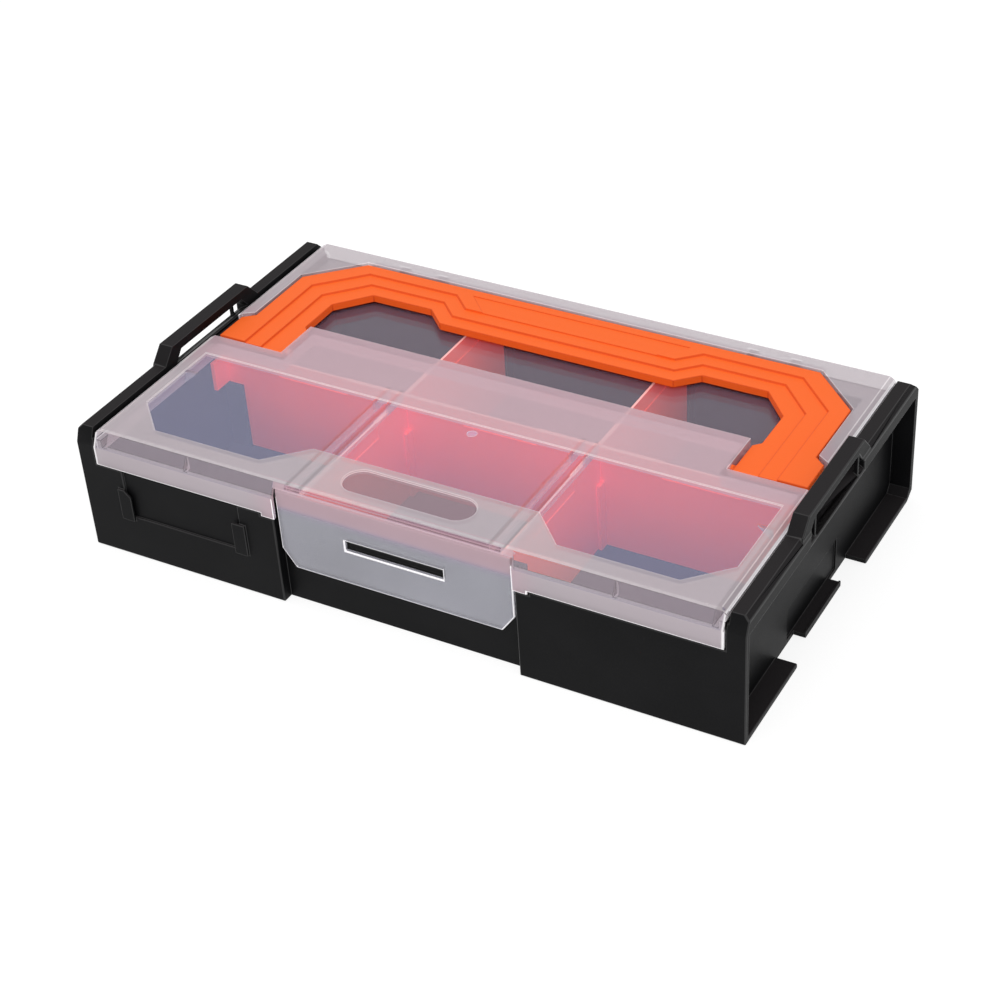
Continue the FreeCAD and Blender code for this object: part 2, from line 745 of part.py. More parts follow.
def lid_front_opening(lid):
    """The opening in the band and skirt that the latch flap hangs in."""
    opening = flap_half + size.flap_side_gap
    opening_top = size.flap_axis + size.flap_plate / 2 + size.flap_gap
    hollow_front = lid_front + size.band_run + size.lid_wall / 2
    cut(lid, "flap_opening", "XZ", lid_front, hollow_front,
        [rectangle(-opening, opening, skirt_foot, opening_top)])
    tooth = rectangle(opening, opening + size.tooth_width, skirt_foot - size.tooth_drop, skirt_foot)
    add(lid, "skirt_teeth", "XZ", lid_front, skirt_inner, both(tooth))


def lid_hinges(lid):
    """Room for the tray's lugs, and an open knuckle in the middle of each."""
    knuckle_half = size.knuckle_length / 2
    room_half = knuckle_half + size.knuckle_gap + size.lug_width + size.hinge_room
    radius = size.knuckle / 2
    room_top = hinge_z + radius + size.hinge_room
    room_front = hinge_y - radius - size.hinge_room
    mouth_half = size.knuckle_mouth / 2
    for side in SIDES:
        name = "left" if side < 0 else "right"
        middle = size.hinge_space / 2 * side
        cut(lid, name + "_lug_room", "XZ", room_front, lid_back,
            [rectangle(middle - room_half, middle + room_half, pocket_under, room_top)])
        near = middle - knuckle_half
        far = middle + knuckle_half
        web = rectangle(hinge_y - radius, lid_back, hinge_z, room_top)
        add(lid, name + "_knuckle_web", "YZ", near, far, [web])
        add(lid, name + "_knuckle", "YZ", near, far, [(hinge_y, hinge_z, size.knuckle)])
        bore = size.hinge_pin + size.pin_play * 2
        cut(lid, name + "_bore", "YZ", near, far, [(hinge_y, hinge_z, bore)])
        mouth = rectangle(hinge_y - mouth_half, hinge_y + mouth_half, hinge_z - radius, hinge_z)
        cut(lid, name + "_mouth", "YZ", near, far, [mouth])


def clear_lid():
    lid = body("lid")
    lid_shell(lid)
    lid_top(lid)
    lid_front_opening(lid)
    lid_hinges(lid)


def latch_flap():
    """A plate with a slot for the catch, rounded along its bending line at the top."""
    flap = body("latch_flap")
    face = symmetric([
        (flap_half, size.flap_axis),
        (flap_half, size.flap_foot + size.flap_corner_rise),
        (flap_half - size.flap_corner_run, size.flap_foot),
    ])
    add(flap, "plate", "XZ", flap_front, flap_back, [face])
    bend = (flap_axis_y, size.flap_axis, size.flap_plate)
    add(flap, "bending_line", "YZ", -flap_half, flap_half, [bend])
    slot_half = size.slot_width / 2
    slot = rectangle(-slot_half, slot_half, size.slot_foot, size.slot_foot + size.slot_height)
    cut(flap, "slot", "XZ", flap_front, flap_back, [slot])


def inner_edge(share):
    """The line that runs along the handle at a share of its width, from the outer to the inner outline."""
    back = handle_back - size.grip_narrow * share
    jog = size.grip_wide - size.grip_narrow
    turn = (size.grip_narrow - size.grip_narrow * share) * 0.41
    corner_front = handle_back - size.handle_corner_rise
    inner_front_corner = handle_back - size.grip_narrow - size.inner_corner_rise
    outer_back = leg_outer - size.handle_corner_run
    inner_back = leg_inner - size.inner_corner_run
    return [
        (leg_outer - size.leg_width * share, corner_front - (corner_front - inner_front_corner) * share),
        (outer_back - (outer_back - inner_back) * share, back),
        (size.grip_middle / 2 + size.grip_run - turn, back),
        (size.grip_middle / 2 - turn, back - jog),
    ]


def carry_handle():
    """A flat handle in three tiers that step down towards the hand, with a pin at each leg's end."""
    handle = body("carry_handle")
    ear_back = leg_end + size.ear_length
    outer = [
        (leg_outer - size.handle_corner_run, handle_back),
        (leg_outer, handle_back - size.handle_corner_rise),
        (leg_outer, ear_back + size.ear_slope),
        (ear_outer, ear_back),
        (ear_outer, leg_end),
    ]
    step_back = leg_end + size.ear_inner
    inner_foot = [
        (ear_inner, leg_end),
        (ear_inner, step_back),
        (leg_inner, step_back + size.ear_step),
    ]
    for tier in range(TIERS):
        share = (TIERS - tier) / TIERS
        low = handle_foot if tier == 0 else handle_top - size.tier_step * (TIERS - tier)
        high = handle_top - size.tier_step * (TIERS - 1 - tier)
        foot = inner_foot if tier == 0 else [(leg_outer - size.leg_width * share, leg_end)]
        add(handle, f"tier_{tier + 1}", "XY", low, high, [symmetric(outer + foot + inner_edge(share))])

    panel_half = size.panel_length / 2
    panel_back = handle_back - size.panel_inset
    panel_front = handle_back - size.grip_narrow / TIERS - (size.grip_wide - size.grip_narrow) - size.panel_over
    panel_run = panel_back - panel_front
    panel = symmetric([(panel_half, panel_back), (panel_half - panel_run, panel_front)])
    cut(handle, "panel", "XY", handle_top - size.panel_depth, handle_top, [panel])
    chamfer = [
        (leg_end, handle_foot),
        (leg_end, handle_foot + size.ear_chamfer),
        (leg_end + size.ear_chamfer, handle_foot),
    ]
    at_both_ends(cut, handle, "ear_chamfer", ear_inner, ear_outer, [chamfer])
    at_both_ends(add, handle, "pivot_pin", ear_inner - size.pivot_reach, ear_inner,
                 [(pivot_y, pivot_z, size.pivot_pin)])


def finger_relief(piece, name, plane, middles, face, inward):
    """A shallow relief at the top edge of a divider's face, one at each of the given places along it."""
    half = size.grip_length / 2
    outlines = [rectangle(middle - half, middle + half, divider_top - size.grip_height, divider_top)
                for middle in middles]
    low, high = (face, face + size.grip_depth) if inward > 0 else (face - size.grip_depth, face)
    cut(piece, name, plane, low, high, outlines)


def long_divider():
    """The lengthwise divider, with a cross piece at each end and ribs that hold the cross dividers."""
    plate = body("long_divider")
    end = inner_end - size.divider_play
    foot = size.floor_plate
    add(plate, "plate", "XZ", -half_plate, half_plate, [rectangle(-end, end, foot, divider_top)])
    head_foot = guide_top + size.divider_gap
    head_half = size.head_width / 2
    head = rectangle(-head_half, head_half, head_foot, head_foot + size.head_height)
    at_both_ends(add, plate, "cross_piece", end - size.head_plate, end, [head])
    near = half_plate + size.divider_play
    far = near + size.guide_rib
    ribs = []
    for low, high in ((near, far), (-far, -near)):
        ribs += both(rectangle(cross_x + low, cross_x + high, foot, guide_top))
    reach = half_plate + size.guide_depth
    add(plate, "guide_ribs", "XZ", -reach, reach, ribs)
    bay = (end + cross_x) / 2
    middles = (-bay, as_length(0), bay)
    finger_relief(plate, "front_relief", "XZ", middles, -half_plate, 1)
    finger_relief(plate, "rear_relief", "XZ", middles, half_plate, -1)


def cross_divider(label, side, row):
    """One cross divider: from the front or rear wall to the long divider."""
    plate = body(label)
    middle = cross_x * side
    wall = inner_recess if row < 0 else inner_rear
    outer = wall - size.divider_play * row
    inner = (half_plate + size.divider_play) * row
    near, far = (outer, inner) if row < 0 else (inner, outer)
    left = middle - half_plate
    right = middle + half_plate
    add(plate, "plate", "YZ", left, right, [rectangle(near, far, size.floor_plate, divider_top)])
    centre = (near + far) / 2
    finger_relief(plate, "right_relief", "YZ", [centre], right, -1)
    finger_relief(plate, "left_relief", "YZ", [centre], left, 1)


def write_pieces():
    """Writes each piece to its own file, after checking that every feature was made."""
    pieces = [item for item in doc.Objects if item.TypeId == "PartDesign::Body"]
    for piece in pieces:
        piece.Tip.Refine = True
    doc.recompute()
    broken = [item.Label for item in doc.Objects if "Invalid" in item.State or "Error" in item.State]
    if broken:
        raise RuntimeError("not made: " + ", ".join(broken))
    for piece in pieces:
        if piece.Shape.isNull() or not piece.Shape.isValid() or len(piece.Shape.Solids) != 1:
            raise RuntimeError(piece.Label + " is not one valid solid")
    os.makedirs("parts", exist_ok=True)
    for piece in pieces:
        piece.Shape.exportStep(f"parts/{piece.Label}.step")
        print(piece.Label, round(piece.Shape.Volume), "mm3,", len(piece.Shape.Faces), "faces")


base_tray()
clear_lid()
latch_flap()
carry_handle()
long_divider()
for row_name, row in (("front", -1), ("rear", 1)):
    for side_name, side in (("left", -1), ("right", 1)):
        cross_divider(f"{row_name}_{side_name}_divider", side, row)
write_pieces()
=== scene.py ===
"""Looks of the interlocking organizer box: black tray, frosted lid with windows, orange handle and dividers.

Metres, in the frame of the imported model. X runs along the width, Y from front to back, Z up.
"""
import math
import bpy
from mathutils import Matrix, Vector


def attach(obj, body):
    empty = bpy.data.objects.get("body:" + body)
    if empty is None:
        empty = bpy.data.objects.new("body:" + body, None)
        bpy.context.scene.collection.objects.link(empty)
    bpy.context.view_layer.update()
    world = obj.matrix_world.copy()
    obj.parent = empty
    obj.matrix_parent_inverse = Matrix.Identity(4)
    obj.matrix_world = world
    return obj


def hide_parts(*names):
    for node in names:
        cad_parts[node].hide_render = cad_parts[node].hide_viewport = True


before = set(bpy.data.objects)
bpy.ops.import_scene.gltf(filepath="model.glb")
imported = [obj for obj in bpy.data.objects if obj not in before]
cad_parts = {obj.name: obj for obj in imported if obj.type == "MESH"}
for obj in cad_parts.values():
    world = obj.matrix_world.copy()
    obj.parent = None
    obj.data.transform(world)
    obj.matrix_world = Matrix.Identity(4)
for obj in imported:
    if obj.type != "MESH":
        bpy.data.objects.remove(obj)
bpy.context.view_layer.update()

MM = 0.001
WHITE = (1.0, 1.0, 1.0, 1.0)

# The photograph's camera: a point that it looks towards, its direction, and its lens.
AIM = Vector((50.13, -25.24, 30.0)) * MM
AZIMUTH = math.radians(28.45)
ELEVATION = math.radians(36.35)
ROLL = math.radians(-2.21)
DISTANCE = 734.95 * MM
LENS = 76.89
SENSOR = 36.0
SHIFT = (-0.0935, 0.0242)

# Places on the lid that its finishes and its rework share.
LID_FRONT = -0.0722
FLAP_HALF = 0.0465
LID_SIDE = 0.1212
RECESS_HALF = 0.0189
RECESS_RADIUS = 0.0066
RECESS_MIDDLE = -0.0618
RECESS_FLOOR = 0.05068
GATE = (0.0009, -0.0207, 0.05092)

# The run over which a finish changes at the border of its zone.
HARD = 0.0001
CRISP = 0.0002
EVEN = 0.0003
SOFT = 0.0004
BROAD = 0.0005

# What counts as a sharp edge, as one plane and as one place.
SHARP_EDGE = math.radians(28)
FLAT_FACE = math.radians(0.3)
SAME_PLACE = 0.000002

DIVIDERS = (
    "long_divider",
    "front_left_divider",
    "front_right_divider",
    "rear_left_divider",
    "rear_right_divider",
)


class Wire:
    """A value in a material's node tree that takes part in Python expressions."""

    def __init__(self, finish, socket):
        self.finish = finish
        self.socket = socket

    def maths(self, operation, *values):
        sockets = dict(enumerate((self,) + values))
        return self.finish.node("Math", {"operation": operation}, sockets)

    def __add__(self, other):
        return self.maths("ADD", other)

    def __sub__(self, other):
        return self.maths("SUBTRACT", other)

    def __mul__(self, other):
        return self.maths("MULTIPLY", other)

    def __rsub__(self, other):
        return self.finish.node("Math", {"operation": "SUBTRACT"}, {0: other, 1: self})

    def __neg__(self):
        return self.maths("MULTIPLY", -1.0)

    __radd__ = __add__
    __rmul__ = __mul__

    def size(self):
        return self.maths("ABSOLUTE")

    def within(self, other):
        return self.maths("MINIMUM", other)

    def beyond(self, other):
        return self.maths("MAXIMUM", other)

    def step(self, low, high):
        """0 below low, 1 above high, and a smooth rise between them."""
        settings = {"interpolation_type": "SMOOTHSTEP", "clamp": True}
        return self.finish.node("MapRange", settings, {"Value": self, "From Min": low, "From Max": high})

    def above(self, limit, run):
        """0 up to a limit, and 1 from a run above it."""
        return (self - limit).step(0.0, run)

    def below(self, limit, run):
        """0 down to a limit, and 1 from a run below it."""
        return (limit - self).step(0.0, run)

    def between(self, low, high, run):
        return self.above(low, run) * self.below(high, run)


class Finish:
    """A material that is put together from nodes."""

    def __init__(self, name):
        self.material = bpy.data.materials.new(name)
        self.material.use_nodes = True
        self.tree = self.material.node_tree
        self.tree.nodes.clear()

    def node(self, kind, settings, sockets, output=0):
        node = self.tree.nodes.new("ShaderNode" + kind)
        for key, value in settings.items():
            setattr(node, key, value)
        for key, value in sockets.items():
            if isinstance(value, Wire):
                self.tree.links.new(value.socket, node.inputs[key])
            else:
                node.inputs[key].default_value = value
        return Wire(self, node.outputs[output])

    def split(self, vector):
        """The three parts of a vector."""
        outputs = self.node("SeparateXYZ", {}, {"Vector": vector}).socket.node.outputs
        return [Wire(self, output) for output in outputs]

    def place(self):
        """A point in the box's own frame."""
        return self.node("TexCoord", {}, {}, "Object")

    def facing_up(self):
        """How far a face looks up while its piece is at rest: 1 for a floor, -1 for a ceiling."""
        normal = self.node("TexCoord", {}, {}, "Normal")
        return self.split(normal)[2]

    def noise(self, place, scale, detail=2.0, roughness=0.5):
        sockets = {"Vector": place, "Scale": scale, "Detail": detail, "Roughness": roughness}
        return self.node("TexNoise", {}, sockets, "Fac")

    def speckle(self, place):
        """The fine spark-eroded grain of a mould."""
        return self.noise(place, 1900.0, 2.0, 0.6)

    def bump(self, height, strength):
        return self.node("Bump", {}, {"Height": height, "Strength": strength, "Distance": 0.0002})

    def blend(self, factor, first, second):
        """A colour between two colours."""
        sockets = {"Factor": factor, 6: first, 7: second}
        return self.node("Mix", {"data_type": "RGBA"}, sockets, 2)

    def close(self, shader):
        output = self.tree.nodes.new("ShaderNodeOutputMaterial")
        self.tree.links.new(shader.socket, output.inputs["Surface"])
        return self.material


def moulded_plastic(name, colour, worn_colour, painted_lit_top_colour, roughness, grain, gloss):
    """Satin moulded plastic: fine grain, a faint unevenness of colour and gloss, and tops painted paler, as
    lit from above (painted light).
    """
    finish = Finish(name)
    place = finish.place()
    cloud = finish.noise(place, 38.0, 3.0)
    speckle = finish.speckle(place)
    tint = finish.blend(cloud.step(0.35, 0.7), colour, worn_colour)
    # Painted light: faces that look up take a paler colour, as if lit from above.
    tint = finish.blend(finish.facing_up().step(0.4, 0.95), tint, painted_lit_top_colour)
    shader = finish.node("BsdfPrincipled", {}, {
        "Base Color": tint,
        "Roughness": cloud * 0.1 + speckle * 0.08 + (roughness - 0.09),
        "Specular IOR Level": gloss,
        "Normal": finish.bump(speckle, grain),
    })
    return finish.close(shader)


def divider_plastic():
    """Thin orange plates with a painted glow that stands in for light coming through them: an emission that
    grows with height and is strongest at their top edges, which are also painted paler.
    """
    plate_top = 0.0437
    painted_glow_height = 0.046
    deep_orange = (0.97, 0.09, 0.022, 1.0)
    warm_orange = (1.0, 0.105, 0.028, 1.0)
    painted_pale_top = (0.92, 0.52, 0.48, 1.0)
    painted_foot_glow = (0.05, 0.003, 0.001, 1.0)
    painted_high_glow = (0.28, 0.018, 0.008, 1.0)
    painted_top_glow = (0.42, 0.2, 0.17, 1.0)
    finish = Finish("orange_divider")
    place = finish.place()
    z = finish.split(place)[2]
    cloud = finish.noise(place, 30.0, 3.0)
    speckle = finish.speckle(place)
    tops = z.above(plate_top, EVEN) * finish.facing_up().step(0.5, 0.9)
    tint = finish.blend(cloud.step(0.35, 0.7), deep_orange, warm_orange)
    # Painted light: the top faces are painted paler.
    tint = finish.blend(tops * 0.75, tint, painted_pale_top)
    # Painted glow: an emission, dim at the foot and brighter higher up, brightest on the top faces.
    rise = z.step(0.0, painted_glow_height)
    light = finish.blend(rise * (cloud * 0.5 + 0.75), painted_foot_glow, painted_high_glow)
    light = finish.blend(tops, light, painted_top_glow)
    shader = finish.node("BsdfPrincipled", {}, {
        "Base Color": tint,
        "Roughness": cloud * 0.1 + speckle * 0.06 + 0.32,
        "Emission Color": light,
        "Emission Strength": 1.0,
        "Normal": finish.bump(speckle, 0.15),
    })
    return finish.close(shader)


def window_mask(x, y):
    """1 inside the polished windows of the lid's front half, seen from above."""
    side = 0.1160
    near = -0.0656
    rear = -0.0153
    corner = 0.0138
    field_half = 0.058
    field_run = 0.0136
    diagonal = 0.7
    across = x.size()
    left_over = side - across
    inside = left_over.within(y - near).within(rear - y)
    inside = inside.within((left_over + y - (near + corner)) * diagonal)
    field = ((field_half + near) - across - y) * diagonal
    field = field.within((near + field_run) - y)
    inside = inside.within(-field)
    return inside.step(-CRISP, CRISP)


def pocket_mask(x, y, z):
    """1 on the clear floor of the handle pocket."""
    top = 0.0459
    half = 0.113
    near = 0.0168
    rear = 0.0655
    return z.below(top, HARD) * x.size().below(half, SOFT) * y.between(near, rear, SOFT)


def recess_mask(x, y, z):
    """1 on the floor of the long round-ended recess in the lid's front field."""
    half = RECESS_HALF + 0.0002
    radius = RECESS_RADIUS + 0.0001
    top = 0.0511
    along = (x.size() - half).beyond(0.0)
    across = y - RECESS_MIDDLE
    reach = (along * along + across * across).maths("SQRT")
    return reach.below(radius, CRISP) * z.below(top, HARD)


def rib_mask(x, y, z):
    """1 on the ribs under the lid's front half, which straddle the cross dividers."""
    top = 0.0495
    half = 0.044
    rear = -0.016
    depth = y.below(rear, SOFT) * y.above(LID_FRONT, CRISP)
    return z.below(top, CRISP) * x.size().below(half, SOFT) * depth


def sheen(finish):
    """The share of light that a polished face mirrors: little when seen square on, most at a glance."""
    glance = finish.node("LayerWeight", {}, {"Blend": 0.5}, "Facing")
    square = glance * glance
    return square * square * glance * 0.9 + 0.035


def frosted_lid():
    """Translucent moulded plastic: milky where it is etched, clear in the polished windows."""
    plate_foot = 0.0492
    flap_foot_top = 0.0425
    flap_foot_fade = 0.0045
    band_foot = 0.045
    strip_low = 0.0489
    strip_high = 0.0507
    strip_half = 0.0422
    bridge_half = 0.028
    bridge_fade = 0.014
    middle_half = 0.06
    middle_fade = 0.02
    window_painted_reflection_tint = (0.60, 0.61, 1.0, 1.0)
    rib_tint = (0.84, 0.7, 0.74, 1.0)
    plain_milk = (0.56, 0.49, 0.53, 1.0)
    warm_milk = (0.64, 0.45, 0.51, 1.0)
    painted_bright_side_milk = (0.9, 0.87, 0.89, 1.0)
    finish = Finish("frosted_lid")
    place = finish.place()
    x, y, z = finish.split(place)
    across = x.size()
    up = finish.facing_up()
    grain = finish.noise(place, 900.0, 2.0, 0.6)
    cloud = finish.noise(place, 24.0, 2.0)

    level = up.size().step(0.85, 0.95)
    high = z.above(plate_foot, CRISP) * level
    outer = up.step(-0.3, 0.1)
    front = y.below(LID_FRONT, CRISP)
    side = across.above(LID_SIDE, SOFT)
    beside_flap = across.above(FLAP_HALF, SOFT)
    slope = up.step(0.2, 0.35) * up.below(0.9, 0.1)

    window = window_mask(x, y) * high
    pocket = pocket_mask(x, y, z) * level
    flap_foot = z.below(flap_foot_top, flap_foot_fade) * front * (1.0 - beside_flap)
    band = front * slope * z.above(band_foot, SOFT) * beside_flap * across.below(LID_SIDE, SOFT)
    recess = recess_mask(x, y, z) * high
    strip = front * z.between(strip_low, strip_high, EVEN) * across.below(strip_half, EVEN)
    rib = rib_mask(x, y, z)

    # Each clear zone, how much it veils what is behind it, and its tint.
    clear = window.beyond(rib)
    veil = window * 0.1
    # Painted reflection: the windows' bluish veil stands in for the bright surround mirrored in them.
    polished = window_painted_reflection_tint
    for zone, share, tint in (
        # Painted shade: the pocket floor's dark purple veil darkens the inside seen through it.
        (pocket, 0.1, (0.44, 0.33, 0.48, 1.0)),
        (flap_foot, cloud * 0.16 + 0.17, (0.72, 0.72, 0.82, 1.0)),
        (band, 0.15, (0.78, 0.66, 0.78, 1.0)),
        (recess, 0.55, (0.31, 0.205, 0.25, 1.0)),
        (strip, 0.34, (0.52, 0.27, 0.345, 1.0)),
    ):
        clear = clear.beyond(zone)
        veil = veil + zone * share
        polished = finish.blend(zone, polished, tint)
    polished = finish.blend(rib, polished, rib_tint)
    haze = outer * veil + rib * 0.16 + 0.03

    etched = 1.0 - clear
    milk = outer * 0.4 + 0.16 + cloud * 0.08 + side * 0.25
    bridge = y.size().below(bridge_half, bridge_fade)
    middle = front * across.below(middle_half, middle_fade)
    milky = finish.blend(bridge.beyond(middle), plain_milk, warm_milk)
    # Painted light: the lid's sides are painted whiter, as edges of clear plastic that gather light.
    milky = finish.blend(side, milky, painted_bright_side_milk)
    frosted = finish.node("BsdfPrincipled", {}, {
        "Base Color": finish.blend(clear, milky, polished),
        "Roughness": etched * 0.32 + grain * 0.06 + 0.05,
        "Alpha": milk * etched + clear * haze,
        "Normal": finish.bump(grain * etched, 0.12),
    })
    gloss = finish.node("BsdfAnisotropic", {}, {"Color": WHITE, "Roughness": 0.06})
    mirror = sheen(finish) * outer * (clear * 0.75 + 0.15)
    shader = finish.node("MixShader", {}, {0: mirror, 1: frosted, 2: gloss})
    return finish.close(shader)


def painted_edge_glow():
    """Edges of the clear plastic with a painted glow and painted highlight, standing in for the light that
    such edges gather: an emission and a paler colour, white along the front and sides, pale on top.
    """
    skirt_top = 0.0455
    skirt_fade = 0.001
    skirt_face = -0.0756
    flap_face = -0.0738
    rim_side = 0.1206
    rim_foot = 0.0495
    lid_top = 0.0503
    pocket_near = 0.011
    pocket_rear = 0.018
    pocket_foot_top = 0.0452
    painted_pale_edge = (0.8, 0.74, 0.77, 1.0)
    painted_white_edge = (0.92, 0.9, 0.92, 1.0)
    painted_plain_glow = (0.2, 0.175, 0.185, 1.0)
    painted_white_glow = (0.36, 0.35, 0.36, 1.0)
    finish = Finish("painted_edge_glow")
    place = finish.place()
    x, y, z = finish.split(place)
    across = x.size()
    cloud = finish.noise(place, 160.0, 2.0)
    low = z.below(skirt_top, skirt_fade)
    skirt = y.below(skirt_face, CRISP) * low
    flap = y.below(flap_face, CRISP) * across.below(FLAP_HALF, CRISP) * low
    rim = across.above(rim_side, SOFT) * z.above(rim_foot, BROAD) * y.above(LID_FRONT, BROAD)
    bright = skirt.beyond(flap).beyond(rim)
    shoulder = y.below(LID_FRONT, SOFT)
    top = finish.facing_up().step(0.05, 0.4) * z.above(lid_top, SOFT) * (0.42 - shoulder * 0.18)
    pocket_foot = y.between(pocket_near, pocket_rear, SOFT) * z.below(pocket_foot_top, EVEN) * 0.45
    shader = finish.node("BsdfPrincipled", {}, {
        "Base Color": finish.blend(bright, painted_pale_edge, painted_white_edge),
        "Roughness": cloud * 0.1 + 0.22,
        "Alpha": top.beyond(bright * 0.72).beyond(pocket_foot) + cloud * 0.12 + 0.03,
        # Painted glow: the edges emit light, white along the front and sides.
        "Emission Color": finish.blend(bright, painted_plain_glow, painted_white_glow),
        "Emission Strength": 1.0,
    })
    return finish.close(shader)


def pale_floor():
    """A floor that stays almost white in the shade of the box."""
    finish = Finish("pale_floor")
    cloud = finish.noise(finish.place(), 3.0, 2.0)
    shader = finish.node("BsdfPrincipled", {}, {
        "Base Color": finish.blend(cloud, (0.27, 0.27, 0.27, 1.0), (0.29, 0.29, 0.29, 1.0)),
        "Roughness": 0.8,
        "Specular IOR Level": 0.1,
        "Emission Color": WHITE,
        "Emission Strength": 0.8,
    })
    return finish.close(shader)


def only(thing):
    """Selects one object and nothing else."""
    bpy.ops.object.select_all(action="DESELECT")
    thing.select_set(True)
    bpy.context.view_layer.objects.active = thing


def choose(piece, kind, wanted):
    """Opens a mesh for editing, with the wanted ones of its corners or faces selected."""
    bpy.ops.object.mode_set(mode="EDIT")
    bpy.ops.mesh.select_mode(type=kind)
    bpy.ops.mesh.select_all(action="DESELECT")
    bpy.ops.object.mode_set(mode="OBJECT")
    parts = piece.data.vertices if kind == "VERT" else piece.data.polygons
    for part in parts:
        part.select = wanted(part)
    bpy.ops.object.mode_set(mode="EDIT")


def merge_flat(piece):
    """Merges corners that share a place, and faces that share a plane."""
    only(piece)
    bpy.ops.object.mode_set(mode="EDIT")
    bpy.ops.mesh.select_all(action="SELECT")
    bpy.ops.mesh.remove_doubles(threshold=SAME_PLACE)
    bpy.ops.mesh.dissolve_limited(angle_limit=FLAT_FACE)
    bpy.ops.object.mode_set(mode="OBJECT")


def weigh_edges(piece, share):
    """Gives each sharp edge its share of the easing, by the place of its middle."""
    bpy.ops.object.mode_set(mode="EDIT")
    bpy.ops.mesh.select_mode(type="EDGE")
    bpy.ops.mesh.select_all(action="DESELECT")
    bpy.ops.mesh.edges_select_sharp(sharpness=SHARP_EDGE)
    bpy.ops.object.mode_set(mode="OBJECT")
    mesh = piece.data
    weights = mesh.attributes.new("bevel_weight_edge", "FLOAT", "EDGE")
    for edge in mesh.edges:
        if edge.select:
            first, last = (mesh.vertices[corner].co for corner in edge.vertices)
            weights.data[edge.index].value = share((first + last) / 2)


def whole_share(middle):
    """All edges get the whole easing."""
    return 1.0


def handle_share(middle):
    """How much of the easing an edge of the handle gets: less round the shallow panel on its grip."""
    panel_half = 0.0470
    panel_near = 0.0515
    panel_rear = 0.0630
    panel_foot = 0.0495
    above_panel = abs(middle.x) < panel_half and panel_near < middle.y < panel_rear
    return 0.4 if above_panel and middle.z > panel_foot else 1.0


def lid_share(middle):
    """How much of the easing an edge of the lid gets: most along its outer top edges and its skirt's foot."""
    lid_top = 0.0512
    front_edge = -0.0728
    side_edge = 0.1215
    skirt_face = -0.0758
    skirt_foot = 0.0385
    outside = middle.y < front_edge or abs(middle.x) > side_edge
    if outside and middle.z > lid_top:
        return 1.0
    foot = middle.y < skirt_face and middle.z < skirt_foot
    return 0.65 if foot else 0.34


def flap_share(middle):
    """How much of the easing an edge of the flap gets: most on the side that is seen."""
    seen_side = -0.0744
    return 1.0 if middle.y < seen_side else 0.45


def tray_share(middle):
    """How much of the easing an edge of the tray gets: most along the outside of its ends and front."""
    rear_wall = 0.07
    lug_foot = 0.04
    cleats_left = -0.116
    cleats_right = -0.058
    cleats_face = -0.0755
    cleats_foot = 0.015
    cleats_top = 0.031
    slot_middle = -0.0004
    rib_near = 0.0175
    rib_far = 0.0206
    rib_foot = 0.045
    end_face = 0.1285
    front_face = -0.0757
    if middle.y > rear_wall and middle.z > lug_foot:
        return 0.12
    cleat = cleats_left < middle.x < cleats_right and cleats_foot < middle.z < cleats_top
    cleat = cleat and middle.y < cleats_face
    slot_rib = rib_near < abs(middle.y - slot_middle) < rib_far and middle.z > rib_foot
    if cleat or slot_rib:
        return 0.6
    outside = abs(middle.x) > end_face or middle.y < front_face
    return 1.0 if outside and middle.y < rear_wall else 0.4


def block(place, size):
    """A box to join to a piece."""
    bpy.ops.object.select_all(action="DESELECT")
    bpy.ops.mesh.primitive_cube_add(size=1, location=place)
    tool = bpy.context.object
    tool.scale = size
    bpy.ops.object.transform_apply(location=True, rotation=True, scale=True)
    return tool


def cylinder(place, corners, radius, depth):
    """An upright cylinder as a start for shaping."""
    bpy.ops.object.select_all(action="DESELECT")
    bpy.ops.mesh.primitive_cylinder_add(vertices=corners, radius=radius, depth=depth, location=place)
    start = bpy.context.object
    bpy.ops.object.transform_apply(location=True, rotation=True, scale=True)
    return start


def stretch(piece, half):
    """Moves the two halves of a piece apart along X."""
    for side in (1, -1):
        choose(piece, "VERT", lambda corner: corner.co.x * side > HARD)
        bpy.ops.transform.translate(value=(side * half, 0, 0))
        bpy.ops.object.mode_set(mode="OBJECT")


def combine(piece, tool, operation):
    """Joins a tool's solid to a piece or cuts it away, and removes the tool."""
    only(piece)
    step = piece.modifiers.new("step", "BOOLEAN")
    step.operation = operation
    step.solver = "EXACT"
    step.object = tool
    bpy.ops.object.modifier_apply(modifier=step.name)
    bpy.data.objects.remove(tool)


def smooth_recess(lid):
    """Fills the long recess in the lid's front field and cuts it again, with fully round ends."""
    overlap = 0.0004
    clearance = 0.002
    filling_length = 0.054
    filling_width = 0.0146
    top = max(corner.co.z for corner in lid.data.vertices)
    under = RECESS_FLOOR - overlap
    above = top + clearance
    filling = block((0, RECESS_MIDDLE, (under + top) / 2), (filling_length, filling_width, top - under))
    combine(lid, filling, "UNION")
    cutter_place = (0, RECESS_MIDDLE, (RECESS_FLOOR + above) / 2)
    cutter = cylinder(cutter_place, 64, RECESS_RADIUS, above - RECESS_FLOOR)
    stretch(cutter, RECESS_HALF)
    combine(lid, cutter, "DIFFERENCE")


def close_corners(tray):
    """Closes the narrow gap between each end channel and the low top of the front wall."""
    across = 0.1230
    depth = -0.0730
    height = 0.0442
    size = (0.0020, 0.0016, 0.0032)
    for side in (-1, 1):
        corner = block((side * across, depth, height), size)
        combine(tray, corner, "UNION")


